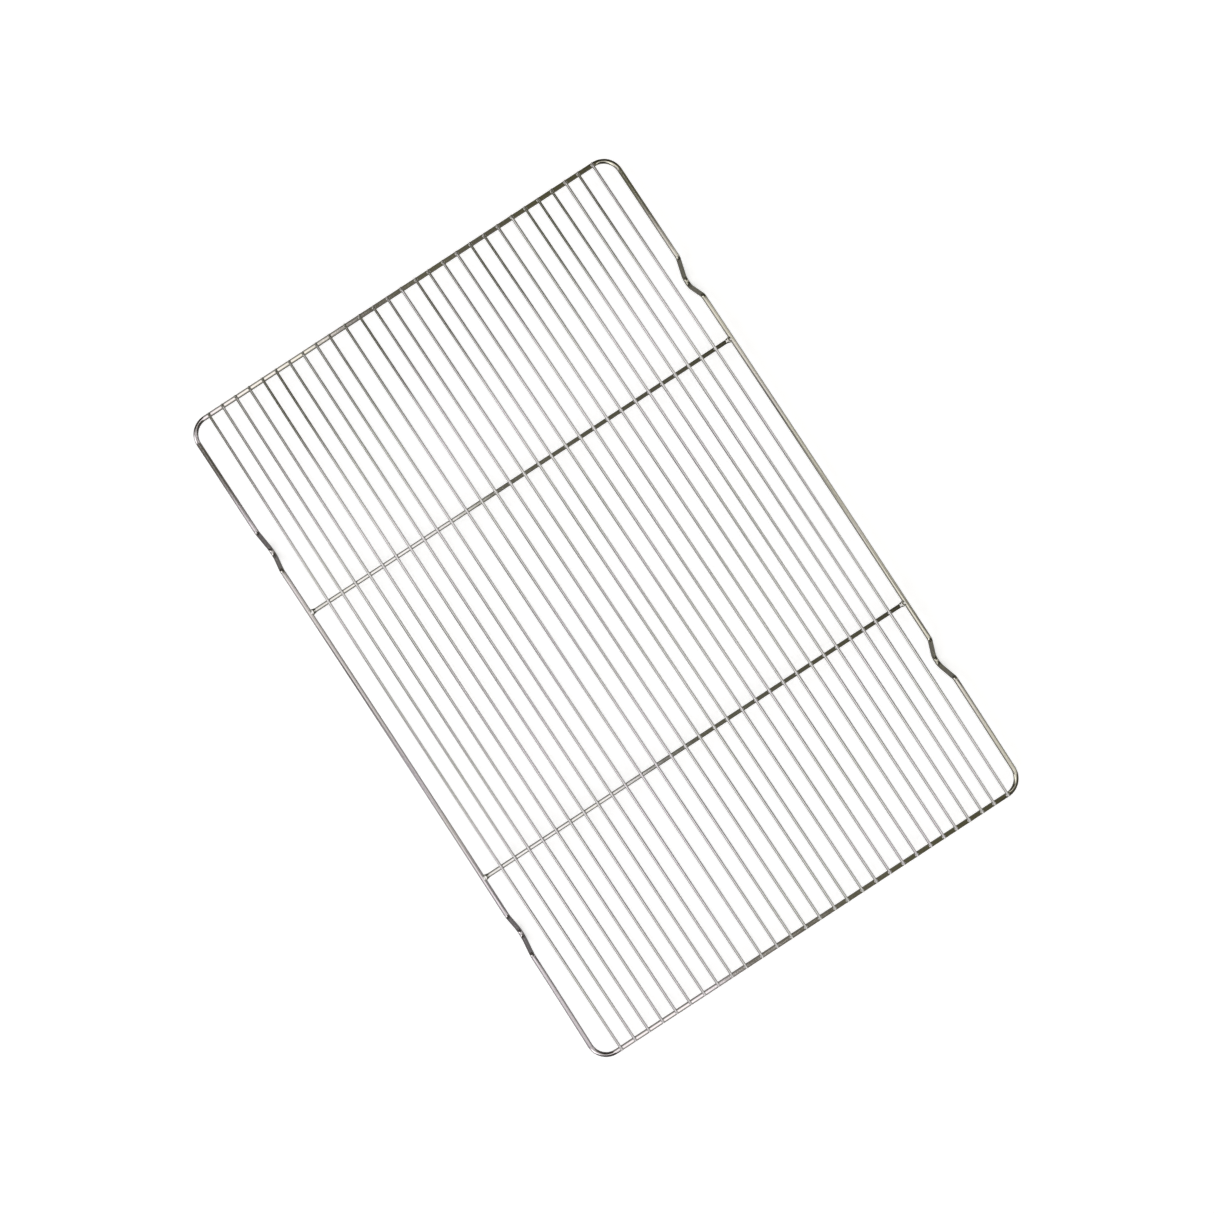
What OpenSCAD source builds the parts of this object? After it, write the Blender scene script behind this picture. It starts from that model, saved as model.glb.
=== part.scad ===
// Footed wire cooling rack for bakery trays.
// A closed frame wire is bent down into four feet, two cross braces are butt-welded between its
// long sides, and a deck of thin grid wires lies on the braces and on the short sides.
// Origin: middle of the bounding box, at the surface that the feet stand on. +Z is up, the grid
// wires run along Y, and the braces run along X.

/* [Rack] */
// Length over the frame wire
rack_l = 622; // [570:1:700]
// Width over the frame wire
rack_w = 418; // [340:1:480]
// Diameter of the frame wire
frame_d = 4.1; // [3.9:0.1:5]
// Radius of the frame's corners, at the middle of the wire
corner_r = 15.5; // [8:0.5:16]

/* [Feet] */
// Distance between the toes of the two feet on one long side
foot_span = 375; // [350:1:480]
// Straight length of a left foot's legs, which slope 4 down for every 3 along
left_leg = 20.5; // [18:0.5:30]
// Straight length of a right foot's legs: the longer pair of feet leans inwards to stand level
right_leg = 20.75; // [18:0.25:30]
// Radius of the bends where a foot leaves the long side, at the middle of the wire
shoulder_r = 3.5; // [3:0.5:6]
// Radius of the bend that stands on the surface, at the middle of the wire
toe_r = 4; // [3:0.5:6]

/* [Braces] */
// Diameter of a cross brace
brace_d = 3.6; // [3:0.1:3.6]
// Distance between the two braces
brace_span = 259; // [150:1:290]
// How far the pair of braces sits from the middle of the length
brace_shift = -3; // [-3:0.5:3]

/* [Grid wires] */
// Number of grid wires
grid_count = 29; // [11:1:40]
// Diameter of a grid wire
grid_d = 2.3; // [1.8:0.1:2.8]
// Distance from the frame's outer edge to the middle of the outermost grid wires
grid_inset = 20.2; // [19:0.1:40]
// How far the whole deck sits to the right of the frame's middle
deck_shift = 1.4; // [-1.5:0.1:1.5]
// How deep the welds let a grid wire into a brace
set_down = 0.2; // [0.1:0.05:0.4]
// How far a grid wire's sheared end stops short of the frame's outer edge
shear_gap = 0.3; // [0:0.1:1]

/* [Hand-laid deck] */
// Greatest drift to the left of the grid wires that lie before the wide gap
left_drift = 1.2; // [0:0.1:2]
// Greatest drift to the right of the grid wires that lie after the wide gap
right_drift = 3.6; // [0:0.1:4]
// Greatest skew of a grid wire over its length, out of square with the braces
deck_skew = 5.2; // [0:0.1:6]

/* [Hidden] */
$fn = 48;
grid_names = [for (n = [1:grid_count]) str("grid_wire_", n < 10 ? "0" : "", n)];

// The legs' slope, as the turn of a bend and its sine and cosine
leg_turn = atan2(4, 3);
leg_run = 3 / 5;
leg_rise = 4 / 5;

// Feet: a toe's depth along its own foot, and the lesser of both depths, to which all feet stand
function foot_dip(leg) = (toe_r + shoulder_r) * (1 - leg_run) + leg * leg_rise;
function foot_half(leg) = (toe_r + shoulder_r) * leg_rise + leg * leg_run;
foot_drop = min(foot_dip(left_leg), foot_dip(right_leg));
foot_y = foot_span / 2;

// Heights of the wires' middles above the surface that the feet stand on
wire_z = foot_drop + frame_d / 2;
grid_z = wire_z + brace_d / 2 + grid_d / 2 - set_down;

// Middles of the frame's sides, and of its corner bends
side_x = (rack_w - frame_d) / 2;
end_y = (rack_l - frame_d) / 2;
bend_x = side_x - corner_r;
bend_y = end_y - corner_r;

// The last grid wire before the wide gap, as a share of the grid wires
gap_share = 0.34;
last_before_gap = floor(grid_count * gap_share) + 1;
// How far right of the middle the greatest skew lies: 1 puts it in the middle
skew_bias = 1.4;
// Grid wires that were welded out of line: the wire's number, and how far to the right it stands
strays = [[11, -0.6], [16, 0.5], [17, -0.8], [23, 0.6], [24, 0.6], [28, -0.7]];

// Where grid wire n crosses the middle of the length, and how far it runs out of square
function grid_share(n) = (n - 1) / (grid_count - 1);
function even_x(n) = deck_shift + (grid_share(n) - 0.5) * (rack_w - 2 * grid_inset);
function drift(n) = n <= last_before_gap
    ? -left_drift * (n - 1) / (last_before_gap - 1)
    : right_drift * sin(180 * (n - last_before_gap + 1.5) / (grid_count - last_before_gap + 1.5));
function stray(n) = let (found = [for (s = strays) if (s[0] == n) s[1]]) len(found) > 0 ? found[0] : 0;
function grid_x(n) = even_x(n) + drift(n) + stray(n);
function grid_angle(n) = atan2(deck_skew * sin(180 * pow(grid_share(n), skew_bias)), rack_l);

// A straight wire along X, from x = from to x = to.
// In all the wires, spin turns the round section so that the line where it closes lies on the same
// side of every piece of one wire, and the pieces meet line to line.
module wire_x(d, from, to, spin = 180) {
    translate([from, 0, 0])
        rotate([0, 90, 0])
            rotate([0, 0, spin])
                cylinder(d = d, h = to - from);
}

// A straight wire along Y, from y = from to y = to
module wire_y(d, from, to, spin = -90) {
    translate([0, from, 0])
        rotate([-90, 0, 0])
            rotate([0, 0, spin])
                cylinder(d = d, h = to - from);
}

// A bend of frame wire in the XY plane around the origin, from one angle through a sweep
module wire_bend(r, from, sweep, spin) {
    rotate([0, 0, from])
        rotate_extrude(angle = sweep)
            translate([r, 0])
                rotate(spin)
                    circle(d = frame_d);
}

// Half of a foot in the XY plane: half of the toe, one leg and the shoulder on the +X side.
// The wire runs along X, and the toe points down -Y.
module half_foot(leg) {
    toe_y = toe_r - foot_dip(leg);
    translate([0, toe_y])
        wire_bend(toe_r, -90, leg_turn, spin = 180);
    translate([toe_r * leg_rise, toe_y - toe_r * leg_run])
        rotate([0, 0, leg_turn])
            wire_x(frame_d, 0, leg, spin = 90);
    translate([foot_half(leg), -shoulder_r])
        wire_bend(shoulder_r, 90, leg_turn, spin = 0);
}

// A foot in its place on the right long side, leaning in until its toe stands level
module foot(y, leg) {
    translate([side_x, y, wire_z])
        rotate([0, acos(foot_drop / foot_dip(leg)), 0])
            rotate([90, 0, 90])
                for (side = [0, 1])
                    mirror([side, 0, 0])
                        half_foot(leg);
}

// One long side with its two feet, on the right
module long_side(leg) {
    inner_y = foot_y - foot_half(leg);
    outer_y = foot_y + foot_half(leg);
    translate([side_x, 0, wire_z]) {
        wire_y(frame_d, -bend_y, -outer_y);
        wire_y(frame_d, -inner_y, inner_y);
        wire_y(frame_d, outer_y, bend_y);
    }
    foot(-foot_y, leg);
    foot(foot_y, leg);
}

// The two short sides, straight from bend to bend
module short_sides() {
    for (y = [-end_y, end_y])
        translate([0, y, wire_z])
            wire_x(frame_d, -bend_x, bend_x);
}

// The four corner bends
module corners() {
    for (side = [0, 1], end = [0, 1])
        mirror([side, 0, 0])
            mirror([0, end, 0])
                translate([bend_x, bend_y, wire_z])
                    wire_bend(corner_r, 0, 90, spin = 90);
}

// The closed frame: one wire, bent into a round-cornered oblong with four feet
module frame_wire() {
    color("silver") {
        short_sides();
        corners();
        long_side(right_leg);
        mirror([1, 0, 0])
            long_side(left_leg);
    }
}

// A plain brace bar from one long side's middle to the other's
module brace_bar(y) {
    translate([0, y, wire_z])
        wire_x(brace_d, -side_x, side_x);
}

// A brace whose ends are shaped to the long sides that they are welded to
module brace(y) {
    color("darkgray")
        difference() {
            brace_bar(y);
            for (x = [-side_x, side_x])
                translate([x, y, wire_z])
                    wire_y(frame_d, -frame_d, frame_d);
        }
}

module front_brace() {
    brace(brace_shift - brace_span / 2);
}

module rear_brace() {
    brace(brace_shift + brace_span / 2);
}

// Grid wire n, let into both braces and both short sides where the welds join it to them
module grid_wire(n) {
    grid_end = rack_l / 2 - shear_gap;
    color("gainsboro")
        difference() {
            translate([grid_x(n), 0, grid_z])
                rotate([0, 0, grid_angle(n)])
                    wire_y(grid_d, -grid_end, grid_end);
            short_sides();
            brace_bar(brace_shift - brace_span / 2);
            brace_bar(brace_shift + brace_span / 2);
        }
}

frame_wire();
front_brace();
rear_brace();
for (n = [1:grid_count])
    grid_wire(n);
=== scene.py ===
"""A footed wire cooling rack in bright chrome plate, seen from straight above on a pale floor."""

import math
import random

import bpy
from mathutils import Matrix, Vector


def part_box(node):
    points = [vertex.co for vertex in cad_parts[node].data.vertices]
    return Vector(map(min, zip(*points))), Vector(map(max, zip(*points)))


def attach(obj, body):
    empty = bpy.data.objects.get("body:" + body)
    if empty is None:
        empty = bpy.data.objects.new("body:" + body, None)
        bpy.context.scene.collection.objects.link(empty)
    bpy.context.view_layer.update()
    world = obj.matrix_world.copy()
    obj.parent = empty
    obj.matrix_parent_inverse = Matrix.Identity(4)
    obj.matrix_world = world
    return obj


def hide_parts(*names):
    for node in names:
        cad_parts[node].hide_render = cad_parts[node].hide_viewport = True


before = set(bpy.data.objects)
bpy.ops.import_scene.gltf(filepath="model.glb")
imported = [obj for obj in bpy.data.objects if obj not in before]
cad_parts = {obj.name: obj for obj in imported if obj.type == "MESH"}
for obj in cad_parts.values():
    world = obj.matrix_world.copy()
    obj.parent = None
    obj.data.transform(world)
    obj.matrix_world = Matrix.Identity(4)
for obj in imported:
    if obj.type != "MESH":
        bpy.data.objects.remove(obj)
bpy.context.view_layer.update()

MM = 0.001
# Points that are nearer than this to an end of the rack belong to that end
AT_END = 1 * MM

# ---------------------------------------------------------------- sizes read from the frame
FRONT_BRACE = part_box("front_brace")
REAR_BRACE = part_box("rear_brace")
FRAME_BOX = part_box("frame_wire")
GRID_NODES = sorted(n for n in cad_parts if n.startswith("grid_wire_"))
FIRST_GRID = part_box(GRID_NODES[0])


def middle(box):
    """The middle of a box given by its lowest and highest corners."""
    return (box[0] + box[1]) / 2


WIRE_Z = middle(FRONT_BRACE).z
BRACE_Y = [middle(FRONT_BRACE).y, middle(REAR_BRACE).y]
BRACE_R = (FRONT_BRACE[1].z - FRONT_BRACE[0].z) / 2
FRAME_R = FRAME_BOX[1].z - WIRE_Z
SIDE_X = FRAME_BOX[1].x - FRAME_R
END_Y = FRAME_BOX[1].y - FRAME_R
GRID_R = (FIRST_GRID[1].z - FIRST_GRID[0].z) / 2
GRID_Z = middle(FIRST_GRID).z
GRID_END = FIRST_GRID[1].y

# ---------------------------------------------------------------- the frame wire's bends
CORNER_R = 15.5 * MM
# The toes' places and the legs' slope, 4 down for every 3 along, are those of the CAD
TOE_Y = 187.5 * MM
LEG_TURN = math.atan2(4, 3)
LEG_RUN = 3 / 5
LEG_RISE = 4 / 5
# The feet's bends are rounder than in the CAD. Their legs are shorter, so each foot is as deep.
TOE_R = 8.0 * MM
SHOULDER_R = 4.0 * MM
LEFT_LEG = 18.25 * MM
RIGHT_LEG = 18.5 * MM

# ---------------------------------------------------------------- how finely the wires are meshed
FRAME_SIDES = 32
GRID_SIDES = 24
STRAIGHT_STEP = 9 * MM
CORNER_STEPS = 18
TOE_STEPS = 12
# Near a weld, a grid wire has this many rings on each side, this close, and no others this near
FINE_RINGS = 6
FINE_HALF = 3.3 * MM
FINE_CLEAR = 4.4 * MM

# ---------------------------------------------------------------- the wires' ends
# A brace has even rings up to this far from a long side, and ends in rings of these shares of its
# radius, shaped to the long side
COPE_CLEAR = 2 * MM
COPE_SHARES = (1.0, 0.75, 0.5, 0.25)
# A grid wire is sheared off at a slight tilt. The rings of its end are given by how far back they lie
# and how much they are narrowed, in millimetres, and its other rings stay this clear of them.
SHEAR_TILT = (0.05, 0.16)
SHEAR_RINGS = ((0.22, 0.0), (0.08, 0.03), (0.02, 0.09), (0.0, 0.2), (0.0, 0.7))
SHEAR_CLEAR = 0.4 * MM

# ---------------------------------------------------------------- the welds
# Spot welds: the fillet's radius, its steps across and round each quarter, how deep its hidden back
# is sunk as a share of the radius, and how far short of the wires' ends it stays
GRID_WELD_R = 0.4 * MM
FILLET_STEPS = 6
FILLET_QUARTER_STEPS = 10
FILLET_SINK = 1.9
FILLET_CLEAR = 0.1 * MM
# How deep, and how far each way, a spot weld's electrode flattens the grid wire's top
PINCH_DEPTH = 0.05 * MM
PINCH_HALF = 2.2 * MM
# Beads of the brace ends: where they start and end, measured inwards from the long side's middle
BEAD_FROM = -1.1 * MM
BEAD_TO = 6.5 * MM
# How far they spread past the brace where they start, the power by which that spread tapers off,
# and how far they rise above the brace
BEAD_SPREAD = 2.1 * MM
BEAD_TAPER = 1.6
BEAD_RISE = 0.4 * MM
# The powers that round their section (1 is round, less is squarer) and blunt their two ends
BEAD_SECTION = 0.7
BEAD_BLUNTNESS = 6
BEAD_STEPS = 14
BEAD_SIDES = 24

# ---------------------------------------------------------------- how far the wires are out of true
# The left long side is bowed inwards, and the right one's ends are drawn inwards. The leans say how
# much stronger that is in front than in the middle.
LEFT_BOW = 1.3 * MM
LEFT_LEAN = 0.6
RIGHT_DRAW = 1.4 * MM
RIGHT_LEAN = 0.4
# The outermost grid wires are bowed outwards in the middle, and fall back inwards towards their ends
DECK_BOW = 0.85 * MM
DECK_FALL = 1.75 * MM
# The steepest slopes of the grid wires' waves, and of their sag in the rear bay. Stiff wires hardly
# sag there. A sag's slope differs from wire to wire, and is less at the brace than at the rear side.
WAVE_SLOPE = 0.005
SAG_SLOPE = 0.018
SAG_SPREAD = (0.7, 1.3)
SAG_START = 0.6
STIFF_SLOPE = 0.001
STIFF_WIRES = (5, 6, 12, 16, 20, 21, 24, 25, 26, 28)
# Each wire along X has one ripple in its height, given by its steepest slope and where that is
RIPPLE_REACH = 60 * MM
RIPPLES = {
    "front_side": (-0.0095, -75 * MM),
    "front_brace": (0.0012, -36 * MM),
    "rear_brace": (0.002, -33 * MM),
    "rear_side": (-0.0036, -53 * MM),
}
SEED = 29

# ---------------------------------------------------------------- the chrome plate
# How much the drawn wire's polish stretches reflections, and which way
ANISOTROPY = 0.85
ANISOTROPY_TURN = 0.25
# Noise has values round 0.5, and its scales are per metre. EVEN is noise that isn't stretched.
EVEN = (1, 1, 1)
# The noise values where a plate has its tone, is halfway to its tint, and has its tint
TONE_STOPS = (0.32, 0.5, 0.68)
TONE_DETAIL = 2.0
# Specks are where their noise is high: the values where they begin and are full, how much of the
# plate a full one covers, and their colour
SPECK_SCALE = 2600
SPECK_RANGE = (0.78, 0.82)
SPECK_COVER = 0.75
SPECK_TONE = (0.07, 0.06, 0.05)
# Scratches and haze go from least to most over this range of noise. Scratches are stretched along
# the wire, and both change the plate's roughness, by these amounts at most.
NOISE_RANGE = (0.3, 0.7)
FINE_DETAIL = 3.0
SCRATCH_STRETCH = (60, 9000, 1)
SCRATCH_ROUGHNESS = 0.05
HAZE_SCALE = 55
HAZE_ROUGHNESS = (-0.03, 0.06)
BUMP_STRENGTH = 0.12
BUMP_DEPTH = 0.02 * MM

# ---------------------------------------------------------------- the studio's light
# A place in the studio is a direction, and its edges are parts of that direction's whole length: to
# the right, or to the rear for FRONT and REAR edges. Each edge is soft, from its first value to its
# second. A STEEP or WINDOW_NEAR or WINDOW_FAR edge counts the same to the front as to the rear.

# The strip light, which is brighter in its steep parts, to the front and rear, and nearly dark past
# its ends
STRIP_LEFT = (-0.108, -0.098)
STRIP_RIGHT = (-0.022, -0.015)
STRIP_FRONT = (-0.88, -0.62)
STRIP_REAR = (0.52, 0.76)
STRIP_PAST_ENDS = 0.15
STRIP_LIGHT = (1.7, 1.68, 1.7)
STRIP_STEEP = (0.3, 0.85)
STRIP_STEEP_LIGHT = (2.1, 2.08, 2.06)
# The two screens: their inner edges, and where each goes from its near light to its far light
SCREEN_FRONT = (-0.4, -0.2)
SCREEN_REAR = (0.144, 0.164)
LEFT_SCREEN = (-0.13, -0.1)
LEFT_SPAN = (-0.95, -0.2)
LEFT_NEAR = (1.3, 1.28, 1.31)
LEFT_FAR = (0.88, 0.86, 0.89)
RIGHT_SCREEN = (0.11, 0.24)
RIGHT_SPAN = (0.3, 0.95)
RIGHT_NEAR = (1.14, 1.13, 1.12)
RIGHT_FAR = (0.66, 0.65, 0.64)
# The windows at the far left, one to the front and one to the rear
WINDOW_NEAR = (0.2, 0.26)
WINDOW_FAR = (0.45, 0.55)
WINDOW_LEFT = (-0.42, -0.32)
WINDOW_LIGHT = (2.2, 2.2, 2.2)
# The dark room: a little darker to the right of the strip light, and black to the front and rear
DARK_SPAN = (-0.02, 0.1)
DARK_NEAR = (0.2, 0.196, 0.155)
DARK_FAR = (0.128, 0.124, 0.082)
BLACK_ASIDE = (0.1, 0.112)
BLACK_STEEP = (0.25, 0.45)
BLACK_ROOM = (0.03, 0.028, 0.02)
# Uneven light: clouds over the strip light and the screens, and a streak of shade across the screens
CLOUD_SCALE = (3.5, 11, 3.5)
CLOUD_RANGE = (0.35, 0.62)
SCREEN_MOTTLE = (0.55, 1.3)
STRIP_MOTTLE = (0.82, 1.1)
STREAK_SLANT = 0.07
STREAK = (0.006, 0.028)
STREAK_SHADE = 0.3
# The backdrop that only the camera sees, and the table: its half width, its colour, its own light
# for the camera, and the painted shade, a flat dim glow, that the wires mirror in its place
BACKDROP = (1.1, 1.1, 1.1)
TABLE_HALF = 6.0
TABLE_TONE = (0.9, 0.9, 0.9)
TABLE_FILL = 0.62
TABLE_PAINTED_SHADE = (0.215, 0.213, 0.21)

# ---------------------------------------------------------------- the camera
# In metres, degrees round X, Y and Z, and millimetres
CAMERA_PLACE = (-0.0166, -0.0641, 1.952)
CAMERA_DEGREES = (1.811, 0.588, -33.209)
CAMERA_LENS = 70


# ---------------------------------------------------------------- meshes
def make_piece(name, verts, faces, uvs, material, slot):
    """A smooth mesh piece that rides on the rack's one body. uvs has one pair for each face corner."""
    mesh = bpy.data.meshes.new(name)
    mesh.from_pydata(verts, [], faces)
    mesh.polygons.foreach_set("use_smooth", [True] * len(faces))
    layer = mesh.uv_layers.new(name="along_and_around")
    layer.data.foreach_set("uv", [value for pair in uvs for value in pair])
    mesh.materials.append(material)
    mesh.validate()
    piece = bpy.data.objects.new(name, mesh)
    bpy.context.scene.collection.objects.link(piece)
    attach(piece, "root")
    return piece


def skin(rings, closed):
    """Vertices, faces and UVs, in metres along and around, of a tube through rings of points.
    An open tube is closed at each end by a fan to the middle of its last ring."""
    sides = len(rings[0])
    verts = [point for ring in rings for point in ring]
    middles = [sum(ring, Vector()) / sides for ring in rings]
    along = [0.0]
    for here, there in zip(middles, middles[1:] + middles[:1]):
        along.append(along[-1] + (there - here).length)
    facets = [(ring[0] - ring[1]).length for ring in rings]
    facet = max(facets)
    faces = []
    uvs = []
    for i in range(len(rings) if closed else len(rings) - 1):
        after = (i + 1) % len(rings)
        for k in range(sides):
            turned = (k + 1) % sides
            faces.append((i * sides + k, i * sides + turned, after * sides + turned, after * sides + k))
            low, high = k * facet, (k + 1) * facet
            uvs += [(along[i], low), (along[i], high), (along[i + 1], high), (along[i + 1], low)]
    if not closed:
        for i, forward in ((0, False), (len(rings) - 1, True)):
            verts.append(middles[i])
            for k in range(sides):
                pair = (i * sides + k, i * sides + (k + 1) % sides)
                faces.append((*(pair if forward else pair[::-1]), len(verts) - 1))
                uvs += [(along[i], k * facets[i])] * 3
    return verts, faces, uvs


def circle(middle_point, ahead, radius, sides):
    """A ring of points round middle_point, square to the direction ahead, which is never vertical."""
    side = Vector((0, 0, 1)).cross(ahead).normalized()
    up = ahead.cross(side).normalized()
    turns = [2 * math.pi * k / sides for k in range(sides)]
    return [middle_point + radius * (math.cos(a) * side + math.sin(a) * up) for a in turns]


def arc(centre, radius, start, sweep, steps):
    """Points of an arc in a plane, from the angle start through sweep, without its last point."""
    angles = [start + sweep * i / steps for i in range(steps)]
    return [(centre[0] + radius * math.cos(a), centre[1] + radius * math.sin(a)) for a in angles]


def line(start, end):
    """Evenly spaced points of a straight line, without its last point."""
    length = math.dist(start, end)
    steps = max(1, round(length / STRAIGHT_STEP))
    return [tuple(a + (b - a) * i / steps for a, b in zip(start, end)) for i in range(steps)]


def wave(stops, slopes, at):
    """A smooth curve that is zero at every stop, read at one place. slopes gives, for each bay
    between two stops, the slope at its start and at its end."""
    inside = min(max(at, stops[0]), stops[-1])
    i = min(sum(inside >= stop for stop in stops[1:]), len(stops) - 2)
    span = stops[i + 1] - stops[i]
    t = (inside - stops[i]) / span
    start, end = slopes[i]
    return span * (start * t * (1 - t) ** 2 - end * t**2 * (1 - t))


def ripple(wire, x):
    """How far the middle of a wire along X stands above its plan height at x: a slight wave, whose
    steepest place and slope there are given for each wire."""
    slope, place = RIPPLES[wire]
    return slope * (x - place) * math.exp(-(((x - place) / RIPPLE_REACH) ** 2))


# ---------------------------------------------------------------- the frame wire
def settled(side, y):
    """Where the middle of the left (-1) or right (1) long side stands in x at y. The left side is
    bowed inwards, most of all in front, and the right side's ends are drawn in, also more in front."""
    share = y / END_Y
    if side < 0:
        return LEFT_BOW * (1 - share**2) * (1 - LEFT_LEAN * share) - SIDE_X
    return SIDE_X - RIGHT_DRAW * share**2 * (1 - RIGHT_LEAN * share)


def foot_profile(leg):
    """A foot's wire in its own plane: how far along the side each point is, and how far down."""
    dip = (TOE_R + SHOULDER_R) * (1 - LEG_RUN) + leg * LEG_RISE
    half = (TOE_R + SHOULDER_R) * LEG_RISE + leg * LEG_RUN
    quarter = math.pi / 2
    toe = arc((0, TOE_R - dip), TOE_R, -quarter, LEG_TURN, TOE_STEPS)
    shoulder = arc((half, -SHOULDER_R), SHOULDER_R, quarter + LEG_TURN, -LEG_TURN, TOE_STEPS)
    leg_start = (TOE_R * LEG_RISE, TOE_R - dip - TOE_R * LEG_RUN)
    rest = toe + line(leg_start, shoulder[0]) + shoulder + [(half, 0)]
    return [(-along, down) for along, down in rest[:0:-1]] + rest, half, dip


def side_path(leg, lean):
    """The wire of one long side from its front to its rear, as points (inwards, along, height)."""
    profile, half, dip = foot_profile(leg)
    bend_y = END_Y - CORNER_R
    foot = [(-down * math.sin(lean), along, down * math.cos(lean)) for along, down in profile]
    stops = [-bend_y, -TOE_Y - half, -TOE_Y + half, TOE_Y - half, TOE_Y + half, bend_y]
    path = line((0, stops[0], 0), (0, stops[1], 0))
    path += [(inward, along - TOE_Y, height) for inward, along, height in foot[:-1]]
    path += line((0, stops[2], 0), (0, stops[3], 0))
    path += [(inward, along + TOE_Y, height) for inward, along, height in foot[:-1]]
    path += line((0, stops[4], 0), (0, stops[5], 0))
    return path


def frame_path():
    """The middle of the frame wire, once round from the right side's front end."""
    left_dip = foot_profile(LEFT_LEG)[2]
    right_dip = foot_profile(RIGHT_LEG)[2]
    drop = min(left_dip, right_dip)
    right = side_path(RIGHT_LEG, math.acos(drop / right_dip))
    left = side_path(LEFT_LEG, math.acos(drop / left_dip))
    bend_x, bend_y = SIDE_X - CORNER_R, END_Y - CORNER_R
    quarter = math.pi / 2
    path = [(SIDE_X - inward, along, height) for inward, along, height in right]
    path += [(*p, 0) for p in arc((bend_x, bend_y), CORNER_R, 0, quarter, CORNER_STEPS)]
    path += line((bend_x, END_Y, 0), (-bend_x, END_Y, 0))
    path += [(*p, 0) for p in arc((-bend_x, bend_y), CORNER_R, quarter, quarter, CORNER_STEPS)]
    path += [(inward - SIDE_X, -along, height) for inward, along, height in left]
    path += [(*p, 0) for p in arc((-bend_x, -bend_y), CORNER_R, 2 * quarter, quarter, CORNER_STEPS)]
    path += line((-bend_x, -END_Y, 0), (bend_x, -END_Y, 0))
    path += [(*p, 0) for p in arc((bend_x, -bend_y), CORNER_R, 3 * quarter, quarter, CORNER_STEPS)]
    settled_path = []
    for x, y, z in path:
        share = (x / SIDE_X + 1) / 2
        moved = (1 - share) * (settled(-1, y) + SIDE_X) + share * (settled(1, y) - SIDE_X)
        if abs(y) > END_Y - AT_END:
            z = ripple("rear_side" if y > 0 else "front_side", x)
        settled_path.append(Vector((x + moved, y, z + WIRE_Z)))
    return settled_path


def build_frame(material):
    """The closed frame wire with its corner bends and its four feet."""
    path = frame_path()
    rings = []
    for i, here in enumerate(path):
        before, after = path[i - 1], path[(i + 1) % len(path)]
        ahead = ((here - before).normalized() + (after - here).normalized()).normalized()
        rings.append(circle(here, ahead, FRAME_R, FRAME_SIDES))
    piece = make_piece("frame", *skin(rings, closed=True), material, "frame_steel")
    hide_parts("frame_wire")
    return piece


# ---------------------------------------------------------------- the braces
def build_brace(name, node, y, material):
    """A brace whose ends are shaped to the round of the long sides."""
    reach = SIDE_X - FRAME_R - COPE_CLEAR
    steps = round(2 * reach / STRAIGHT_STEP)
    ahead = Vector((1, 0, 0))
    rings = []
    for i in range(steps + 1):
        x = -reach + 2 * reach * i / steps
        rings.append(circle(Vector((x, y, WIRE_Z + ripple(node, x))), ahead, BRACE_R, FRAME_SIDES))
    for end in (-1, 1):
        cope = []
        for share in COPE_SHARES:
            ring = circle(Vector((0, y, WIRE_Z)), ahead, BRACE_R * share, FRAME_SIDES)
            for point in ring:
                rise = point.z - WIRE_Z
                point.x = settled(end, y) - end * math.sqrt(FRAME_R**2 - rise**2)
            cope.append(ring)
        if end < 0:
            rings = cope[::-1] + rings
        else:
            rings += cope
    piece = make_piece(name, *skin(rings, closed=False), material, "brace_steel")
    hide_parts(node)
    return piece


# ---------------------------------------------------------------- the grid wires
def end_x(node, end):
    """Where the middle of a grid wire's CAD solid lies in x at its front (-1) or rear (1) end."""
    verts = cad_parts[node].data.vertices
    near = [v.co.x for v in verts if v.co.y * end > GRID_END - AT_END]
    return (min(near) + max(near)) / 2


def grid_stations(welds):
    """Places along a grid wire for its rings, closer together at the welds."""
    count = round(2 * GRID_END / STRAIGHT_STEP)
    places = {round(-GRID_END + 2 * GRID_END * i / count, 6) for i in range(1, count)}
    for weld in welds:
        near = [weld + FINE_HALF * k / FINE_RINGS for k in range(-FINE_RINGS, FINE_RINGS + 1)]
        places = {p for p in places if abs(p - weld) > FINE_CLEAR}
        places |= {round(p, 6) for p in near if abs(p) < GRID_END - SHEAR_CLEAR}
    return sorted(places)


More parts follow.
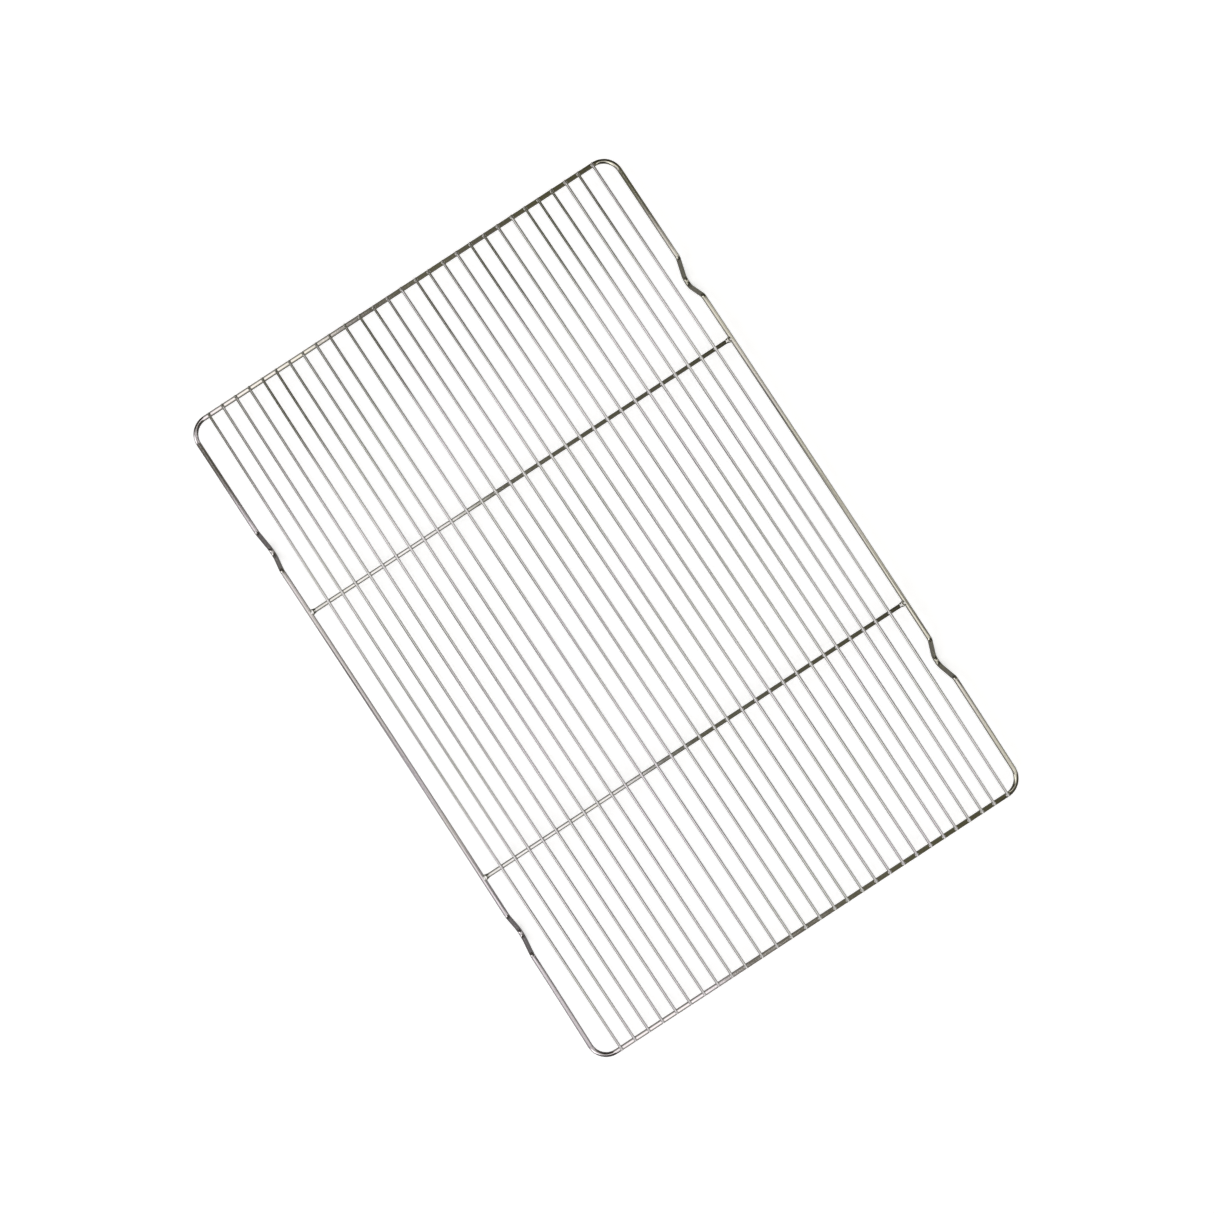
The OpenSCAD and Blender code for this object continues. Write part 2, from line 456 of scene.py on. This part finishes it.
def build_grid_wire(node, welds, rng, material):
    """A thin wire laid along the rack: pinched a little at its four welds, sagging and waving a
    little between them, bowed with the whole deck, and sheared off at its ends. The function that
    it returns with the piece gives the wire's middle at any y."""
    front_x, rear_x = end_x(node, -1), end_x(node, 1)
    turns = [rng.uniform(-1, 1) * WAVE_SLOPE for _ in welds]
    sideways = list(zip(turns, turns[1:]))
    downwards = [(-rng.random() * WAVE_SLOPE, rng.random() * WAVE_SLOPE) for _ in welds[:2]]
    stiff = int(node[-2:]) in STIFF_WIRES
    rear_slope = STIFF_SLOPE if stiff else SAG_SLOPE * rng.uniform(*SAG_SPREAD)
    downwards.append((-SAG_START * rear_slope, rear_slope))

    def middle_at(y):
        share = y / GRID_END
        x = (front_x * (1 - share) + rear_x * (1 + share)) / 2
        bow = x / SIDE_X * (DECK_BOW - DECK_FALL * share**2)
        return Vector((x + bow + wave(welds, sideways, y), y, GRID_Z + wave(welds, downwards, y)))

    rings = []
    ahead = Vector((rear_x - front_x, 2 * GRID_END, 0)).normalized()
    for y in grid_stations(welds):
        ring = circle(middle_at(y), ahead, GRID_R, GRID_SIDES)
        pinch = max((math.cos(math.pi / 2 * min(1, abs(y - w) / PINCH_HALF)) ** 2 for w in welds))
        for point in ring:
            point.z = min(point.z, GRID_Z + GRID_R - PINCH_DEPTH * pinch)
        rings.append(ring)
    for end in (-1, 1):
        lean = rng.uniform(*SHEAR_TILT) * end
        turn = rng.uniform(0, 2 * math.pi)
        tips = []
        for back, narrow in SHEAR_RINGS:
            y = end * (GRID_END - back * MM - GRID_R * abs(lean))
            ring = circle(middle_at(y), ahead, GRID_R - narrow * MM, GRID_SIDES)
            for k, point in enumerate(ring):
                angle = 2 * math.pi * k / GRID_SIDES - turn
                share = 1 - narrow * MM / GRID_R
                point.y += lean * GRID_R * share * math.cos(angle)
            tips.append(ring)
        rings = tips[::-1] + rings if end < 0 else rings + tips
    name = node.replace("wire_", "")
    piece = make_piece(name, *skin(rings, closed=False), material, "grid_steel")
    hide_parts(node)
    return piece, middle_at


# ---------------------------------------------------------------- the welds
def rolled_fillet(centres, toward_a, toward_b, radius):
    """Rings of a fillet that a ball rolls between two wires. centres are the ball's places, and
    toward_a and toward_b give the unit directions to the two wires' middles from each place."""
    rings = []
    for centre, to_a, to_b in zip(centres, toward_a, toward_b):
        spread = to_a.angle(to_b)
        ring = []
        for i in range(FILLET_STEPS + 1):
            t = i / FILLET_STEPS
            if spread > 0.001:
                near = math.sin((1 - t) * spread) / math.sin(spread)
                far = math.sin(t * spread) / math.sin(spread)
            else:
                near, far = 1 - t, t
            ring.append(centre + radius * (near * to_a + far * to_b))
        ring.append(centre + FILLET_SINK * radius * (to_a + to_b).normalized())
        rings.append(ring)
    return rings


def crossing_fillet(at, lower_r):
    """The weld's fillet where a grid wire along Y lies on a wire along X of radius lower_r. The ball
    that rolls it goes once round the crossing, a quarter at a time, and climbs in every other one."""
    height = GRID_Z - WIRE_Z
    upper, lower = GRID_R + GRID_WELD_R, lower_r + GRID_WELD_R
    low_z, high_z = height - upper, lower
    centres = []
    for quadrant in range(4):
        for i in range(FILLET_QUARTER_STEPS):
            t = i / FILLET_QUARTER_STEPS
            swing = t if quadrant % 2 == 0 else 1 - t
            z = low_z + (high_z - low_z) * math.sin(math.pi / 2 * swing) ** 2
            x = math.sqrt(max(0, upper**2 - (z - height) ** 2))
            y = math.sqrt(max(0, lower**2 - z**2))
            centres.append(Vector((x * (1, 1, -1, -1)[quadrant], y * (-1, 1, 1, -1)[quadrant], z)))
    toward_a = [Vector((-c.x, 0, height - c.z)).normalized() for c in centres]
    toward_b = [Vector((0, -c.y, -c.z)).normalized() for c in centres]
    rings = rolled_fillet(centres, toward_a, toward_b, GRID_WELD_R)
    rings = [[point + at for point in ring] for ring in rings]
    reach = GRID_END - FILLET_CLEAR
    return [[Vector((p.x, min(max(p.y, -reach), reach), p.z)) for p in ring] for ring in rings]


def brace_bead(y, end):
    """The bead of the butt weld where a brace meets a long side: a cushion over the joint, wide on
    the long side and narrowing along the brace, domed above and below."""
    stations = [(1 - math.cos(math.pi * i / BEAD_STEPS)) / 2 for i in range(1, BEAD_STEPS)]
    rings = []
    for t in stations:
        round_off = math.sqrt(1 - (2 * t - 1) ** BEAD_BLUNTNESS)
        half_width = (BRACE_R + BEAD_SPREAD * (1 - t) ** BEAD_TAPER) * round_off
        height = (BRACE_R + BEAD_RISE * math.sin(math.pi * t)) * round_off
        inward = BEAD_FROM + (BEAD_TO - BEAD_FROM) * t
        ring = []
        for k in range(BEAD_SIDES):
            a = 2 * math.pi * k / BEAD_SIDES
            wide = math.copysign(abs(math.cos(a)) ** BEAD_SECTION, math.cos(a))
            tall = math.copysign(abs(math.sin(a)) ** BEAD_SECTION, math.sin(a))
            x = settled(end, y) - end * inward
            ring.append(Vector((x, y - end * half_width * wide, WIRE_Z + height * tall)))
        rings.append(ring)
    return rings


def build_welds(name, loops, closed, material, slot):
    """One piece for a row of welds. Closed ones are fillets in a ring, and others are solid beads."""
    verts, faces, uvs = [], [], []
    for rings in loops:
        more_verts, more_faces, more_uvs = skin(rings, closed)
        faces += [tuple(i + len(verts) for i in face) for face in more_faces]
        verts += more_verts
        uvs += more_uvs
    return make_piece(name, verts, faces, uvs, material, slot)


# ---------------------------------------------------------------- shader nodes
class Shading:
    """Adds linked nodes to a node tree. Sources are other nodes' outputs, numbers or colours."""

    def __init__(self, tree):
        self.nodes = tree.nodes
        self.links = tree.links

    def feed(self, source, socket):
        """Link a source to a socket, or set the socket to a number or a colour."""
        if isinstance(source, tuple):
            socket.default_value = (*source, 1)
        elif isinstance(source, (int, float)):
            socket.default_value = source
        else:
            self.links.new(source, socket)

    def noise(self, place, stretch, scale=1, detail=0.0):
        """A noise texture over places that are stretched along each axis."""
        mapping = self.nodes.new("ShaderNodeMapping")
        mapping.inputs["Scale"].default_value = stretch
        self.links.new(place, mapping.inputs["Vector"])
        texture = self.nodes.new("ShaderNodeTexNoise")
        texture.inputs["Scale"].default_value = scale
        texture.inputs["Detail"].default_value = detail
        self.links.new(mapping.outputs["Vector"], texture.inputs["Vector"])
        return texture.outputs["Fac"]

    def step(self, source, start, stop, low, high, kind="SMOOTHSTEP"):
        """A number that goes from low to high as source goes from start to stop."""
        node = self.nodes.new("ShaderNodeMapRange")
        node.interpolation_type = kind
        node.inputs["From Min"].default_value = start
        node.inputs["From Max"].default_value = stop
        node.inputs["To Min"].default_value = low
        node.inputs["To Max"].default_value = high
        self.links.new(source, node.inputs["Value"])
        return node.outputs["Result"]

    def ramp(self, source, stops):
        """A colour ramp with the given (place, colour) stops."""
        node = self.nodes.new("ShaderNodeValToRGB")
        for element, (at, colour) in zip(node.color_ramp.elements, (stops[0], stops[-1])):
            element.position = at
            element.color = (*colour, 1)
        for at, colour in stops[1:-1]:
            node.color_ramp.elements.new(at).color = (*colour, 1)
        self.links.new(source, node.inputs["Fac"])
        return node.outputs["Color"]

    def mix(self, share, first, second):
        """A colour that goes from first to second as share goes from 0 to 1."""
        # A mix node has its colours in inputs 6 and 7, and in output 2
        node = self.nodes.new("ShaderNodeMix")
        node.data_type = "RGBA"
        self.feed(share, node.inputs[0])
        self.feed(first, node.inputs[6])
        self.feed(second, node.inputs[7])
        return node.outputs[2]

    def math(self, operation, first, second=0):
        """A math node of two sources."""
        node = self.nodes.new("ShaderNodeMath")
        node.operation = operation
        self.feed(first, node.inputs[0])
        self.feed(second, node.inputs[1])
        return node.outputs[0]

    def product(self, *sources):
        """All sources multiplied together."""
        result = sources[0]
        for source in sources[1:]:
            result = self.math("MULTIPLY", result, source)
        return result

    def scaled(self, colour, share):
        """A colour made brighter or darker by a share."""
        node = self.nodes.new("ShaderNodeVectorMath")
        node.operation = "SCALE"
        self.links.new(colour, node.inputs[0])
        self.links.new(share, node.inputs["Scale"])
        return node.outputs[0]

    def seen_or_mirrored(self, seen, mirrored):
        """One shader for what the camera sees, and another for what lights and mirrors show."""
        path = self.nodes.new("ShaderNodeLightPath")
        pick = self.nodes.new("ShaderNodeMixShader")
        self.links.new(path.outputs["Is Camera Ray"], pick.inputs[0])
        self.links.new(mirrored, pick.inputs[1])
        self.links.new(seen, pick.inputs[2])
        return pick.outputs[0]


# ---------------------------------------------------------------- materials
def chrome(name, tone, tint, roughness, patch, drift=0):
    """Bright chrome plate on drawn wire: fine scratches along the wire, patches that go from tone to
    tint and back, and a few specks. patch is the number of patches a metre, and drift is how much
    nearer to tint the plate gets with each metre to the right."""
    material = bpy.data.materials.new(name)
    material.use_nodes = True
    shading = Shading(material.node_tree)
    nodes, links = shading.nodes, shading.links
    shader = nodes["Principled BSDF"]
    shader.inputs["Metallic"].default_value = 1.0
    shader.inputs["Anisotropic"].default_value = ANISOTROPY
    shader.inputs["Anisotropic Rotation"].default_value = ANISOTROPY_TURN
    uv = nodes.new("ShaderNodeUVMap")
    uv.uv_map = "along_and_around"
    tangent = nodes.new("ShaderNodeTangent")
    tangent.direction_type = "UV_MAP"
    tangent.uv_map = "along_and_around"
    links.new(tangent.outputs["Tangent"], shader.inputs["Tangent"])
    place = nodes.new("ShaderNodeTexCoord").outputs["Object"]

    between = tuple((a + b) / 2 for a, b in zip(tone, tint))
    aside = nodes.new("ShaderNodeSeparateXYZ")
    links.new(place, aside.inputs[0])
    patches = shading.noise(place, EVEN, scale=patch, detail=TONE_DETAIL)
    patches = shading.math("ADD", patches, shading.product(aside.outputs["X"], drift))
    base = shading.ramp(patches, list(zip(TONE_STOPS, (tone, between, tint))))
    specks = shading.noise(place, EVEN, scale=SPECK_SCALE)
    specks = shading.step(specks, *SPECK_RANGE, 0, SPECK_COVER, "LINEAR")
    base = shading.mix(specks, base, SPECK_TONE)
    links.new(base, shader.inputs["Base Color"])

    scratches = shading.noise(uv.outputs["UV"], SCRATCH_STRETCH, detail=FINE_DETAIL)
    scratched = shading.step(scratches, *NOISE_RANGE, 0, SCRATCH_ROUGHNESS, "LINEAR")
    haze = shading.noise(place, EVEN, scale=HAZE_SCALE, detail=FINE_DETAIL)
    hazes = [roughness + change for change in HAZE_ROUGHNESS]
    hazy = shading.step(haze, *NOISE_RANGE, *hazes, "LINEAR")
    links.new(shading.math("ADD", scratched, hazy), shader.inputs["Roughness"])

    bump = nodes.new("ShaderNodeBump")
    bump.inputs["Strength"].default_value = BUMP_STRENGTH
    bump.inputs["Distance"].default_value = BUMP_DEPTH
    links.new(scratches, bump.inputs["Height"])
    links.new(bump.outputs["Normal"], shader.inputs["Normal"])
    return material


# ---------------------------------------------------------------- studio
def make_world():
    """A studio lit by a narrow strip light that runs along the rack, left of the camera, by a broad
    dimmer screen on each side, and by two windows at the far left. The rest of the room is dark.
    The camera sees none of it, only a white backdrop."""
    world = bpy.data.worlds.new("studio")
    bpy.context.scene.world = world
    world.use_nodes = True
    shading = Shading(world.node_tree)
    nodes, links = shading.nodes, shading.links
    nodes.clear()
    step, mix, product = shading.step, shading.mix, shading.product
    place = nodes.new("ShaderNodeTexCoord").outputs["Generated"]
    split = nodes.new("ShaderNodeSeparateXYZ")
    links.new(place, split.inputs[0])
    across, along = split.outputs["X"], split.outputs["Y"]
    steepness = shading.math("ABSOLUTE", along)
    asideness = shading.math("ABSOLUTE", across)
    cloud = shading.noise(place, CLOUD_SCALE, detail=1)

    black = product(step(asideness, *BLACK_ASIDE, 0, 1), step(steepness, *BLACK_STEEP, 0, 1))
    dark = mix(step(across, *DARK_SPAN, 0, 1), DARK_NEAR, DARK_FAR)
    colour = mix(black, dark, BLACK_ROOM)

    depth = product(step(along, *SCREEN_REAR, 1, 0), step(along, *SCREEN_FRONT, 0, 1))
    left = product(step(across, *LEFT_SCREEN, 1, 0), depth)
    right = product(step(across, *RIGHT_SCREEN, 0, 1), depth)
    colour = mix(left, colour, mix(step(across, *LEFT_SPAN, 0, 1), LEFT_FAR, LEFT_NEAR))
    colour = mix(right, colour, mix(step(across, *RIGHT_SPAN, 0, 1), RIGHT_NEAR, RIGHT_FAR))

    from_streak = shading.math("ADD", along, product(across, STREAK_SLANT))
    from_streak = shading.math("ABSOLUTE", from_streak)
    streak = step(from_streak, *STREAK, STREAK_SHADE, 1)
    colour = shading.scaled(colour, product(step(cloud, *CLOUD_RANGE, *SCREEN_MOTTLE), streak))

    beside = product(step(steepness, *WINDOW_NEAR, 0, 1), step(steepness, *WINDOW_FAR, 1, 0))
    window = product(beside, step(across, *WINDOW_LEFT, 1, 0))
    colour = mix(window, colour, WINDOW_LIGHT)

    strip = product(step(across, *STRIP_LEFT, 0, 1), step(across, *STRIP_RIGHT, 1, 0))
    strip = product(strip, step(along, *STRIP_REAR, 1, STRIP_PAST_ENDS))
    strip = product(strip, step(along, *STRIP_FRONT, STRIP_PAST_ENDS, 1))
    strip_light = mix(step(steepness, *STRIP_STEEP, 0, 1), STRIP_LIGHT, STRIP_STEEP_LIGHT)
    strip_light = shading.scaled(strip_light, step(cloud, *CLOUD_RANGE, *STRIP_MOTTLE))
    colour = mix(strip, colour, strip_light)

    studio = nodes.new("ShaderNodeBackground")
    links.new(colour, studio.inputs["Color"])
    backdrop = nodes.new("ShaderNodeBackground")
    backdrop.inputs["Color"].default_value = (*BACKDROP, 1)
    out = nodes.new("ShaderNodeOutputWorld")
    links.new(shading.seen_or_mirrored(backdrop.outputs[0], studio.outputs[0]), out.inputs["Surface"])


def make_floor():
    """A plain white table. The wires mirror it as a dimmer one: painted shade, a flat dim glow in its
    place.
    """
    corners = [(x * TABLE_HALF, y * TABLE_HALF, 0) for x, y in ((-1, -1), (1, -1), (1, 1), (-1, 1))]
    mesh = bpy.data.meshes.new("floor")
    mesh.from_pydata(corners, [], [(0, 1, 2, 3)])
    floor = bpy.data.objects.new("floor", mesh)
    bpy.context.scene.collection.objects.link(floor)
    material = bpy.data.materials.new("white_table")
    material.use_nodes = True
    shading = Shading(material.node_tree)
    nodes, links = shading.nodes, shading.links
    nodes.clear()
    lit = nodes.new("ShaderNodeBsdfDiffuse")
    lit.inputs["Color"].default_value = (*TABLE_TONE, 1)
    fill = nodes.new("ShaderNodeEmission")
    fill.inputs["Strength"].default_value = TABLE_FILL
    both = nodes.new("ShaderNodeAddShader")
    links.new(lit.outputs[0], both.inputs[0])
    links.new(fill.outputs[0], both.inputs[1])
    # Painted shade: every ray but the camera's sees the table as this flat dim glow, not as the lit
    # white table
    shade = nodes.new("ShaderNodeEmission")
    shade.inputs["Color"].default_value = (*TABLE_PAINTED_SHADE, 1)
    out = nodes.new("ShaderNodeOutputMaterial")
    links.new(shading.seen_or_mirrored(both.outputs[0], shade.outputs[0]), out.inputs["Surface"])
    mesh.materials.append(material)


def make_camera():
    """The camera over the middle of the rack, turned so that the rack lies slantwise."""
    data = bpy.data.cameras.new("camera")
    data.lens = CAMERA_LENS
    camera = bpy.data.objects.new("camera", data)
    camera.location = CAMERA_PLACE
    camera.rotation_euler = [math.radians(angle) for angle in CAMERA_DEGREES]
    bpy.context.scene.collection.objects.link(camera)
    bpy.context.scene.camera = camera


# ---------------------------------------------------------------- the scene
make_camera()
make_world()
make_floor()
bpy.context.scene.view_settings.view_transform = "Standard"

# Each plate's tone and tint, its roughness, and its patches of tone per metre
frame_chrome = chrome("frame_chrome", (0.6, 0.56, 0.575), (0.57, 0.55, 0.46), 0.05, 9, drift=0.8)
brace_chrome = chrome("brace_chrome", (0.57, 0.555, 0.555), (0.535, 0.525, 0.475), 0.05, 11)
grid_chrome = chrome("grid_chrome", (0.67, 0.638, 0.652), (0.59, 0.592, 0.552), 0.06, 12)
weld_chrome = chrome("weld_chrome", (0.78, 0.78, 0.77), (0.68, 0.66, 0.63), 0.3, 60)
bead_chrome = chrome("bead_chrome", (0.8, 0.8, 0.79), (0.68, 0.66, 0.62), 0.12, 90)

build_frame(frame_chrome)
build_brace("brace_front", "front_brace", BRACE_Y[0], brace_chrome)
build_brace("brace_rear", "rear_brace", BRACE_Y[1], brace_chrome)

weld_rows = {
    "welds_front_side": (-END_Y, FRAME_R),
    "welds_front_brace": (BRACE_Y[0], BRACE_R),
    "welds_rear_brace": (BRACE_Y[1], BRACE_R),
    "welds_rear_side": (END_Y, FRAME_R),
}
weld_places = [y for y, _ in weld_rows.values()]
rng = random.Random(SEED)
middles = [build_grid_wire(node, weld_places, rng, grid_chrome)[1] for node in GRID_NODES]
for row, (y, lower_r) in weld_rows.items():
    loops = []
    for middle_at in middles:
        at = middle_at(y)
        loops.append(crossing_fillet(Vector((at.x, y, WIRE_Z)), lower_r))
    build_welds(row, loops, True, weld_chrome, "grid_steel")
beads = [brace_bead(y, end) for y in BRACE_Y for end in (-1, 1)]
build_welds("welds_of_braces", beads, False, bead_chrome, "brace_steel")
